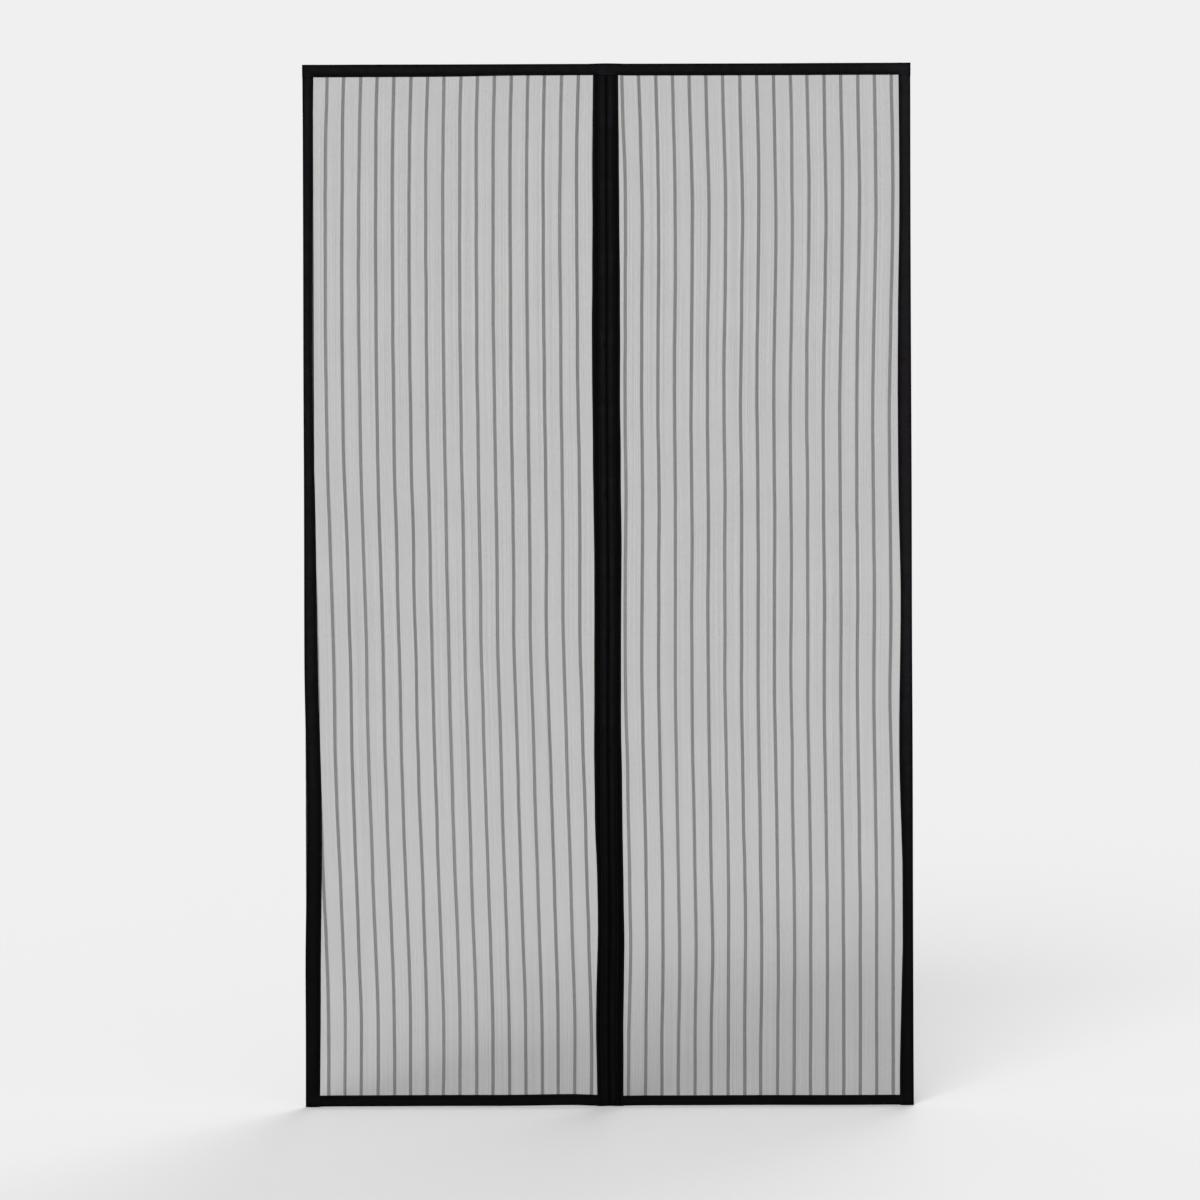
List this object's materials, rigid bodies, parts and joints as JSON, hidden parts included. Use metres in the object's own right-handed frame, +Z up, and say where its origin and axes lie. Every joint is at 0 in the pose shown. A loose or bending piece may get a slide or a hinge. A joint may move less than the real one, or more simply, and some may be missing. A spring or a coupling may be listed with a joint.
{
  "type": "magnetic insect screen",
  "caption": "Hanging insect screen for a doorway: striped mesh panels bound in black tape, with magnets in the middle plackets and hook and loop tape round the frame.",
  "frame": {"origin": "centre of the adhesive face of the top hook tape, where it lies on the door frame", "axes": "+X to the right as seen from the front, +Y into the door frame, +Z up; the front faces -Y"},
  "size_m": [1.284, 0.008, 2.2],
  "materials": {
    "tape": "black woven polyester tape, ribbed, with a dull sheen",
    "mesh": "fine grey knitted polyester mesh, open, with thick dark warp stripes",
    "magnet": "dark pressed ferrite, dull",
    "loop": "black brushed loop pile",
    "hook": "black moulded hooks on an adhesive-backed strip"
  },
  "bodies": {
    "root": {"header_tape": "tape", "left_mesh": "mesh", "right_mesh": "mesh", "left_side_tape": "tape", "left_hem_tape": "tape", "left_placket": "tape", "right_side_tape": "tape", "right_hem_tape": "tape", "right_placket": "tape", "top_loop_tape": "loop", "left_loop_tape": "loop", "right_loop_tape": "loop", "top_hook_tape": "hook", "left_hook_tape": "hook", "right_hook_tape": "hook", "left_magnet_01": "magnet", "left_magnet_02": "magnet", "left_magnet_03": "magnet", "left_magnet_04": "magnet", "left_magnet_05": "magnet", "left_magnet_06": "magnet", "left_magnet_07": "magnet", "left_magnet_08": "magnet", "left_magnet_09": "magnet", "left_magnet_10": "magnet", "left_magnet_11": "magnet", "left_magnet_12": "magnet", "left_magnet_13": "magnet", "left_magnet_14": "magnet", "right_magnet_01": "magnet", "right_magnet_02": "magnet", "right_magnet_03": "magnet", "right_magnet_04": "magnet", "right_magnet_05": "magnet", "right_magnet_06": "magnet", "right_magnet_07": "magnet", "right_magnet_08": "magnet", "right_magnet_09": "magnet", "right_magnet_10": "magnet", "right_magnet_11": "magnet", "right_magnet_12": "magnet", "right_magnet_13": "magnet", "right_magnet_14": "magnet"}
  },
  "joints": []
}
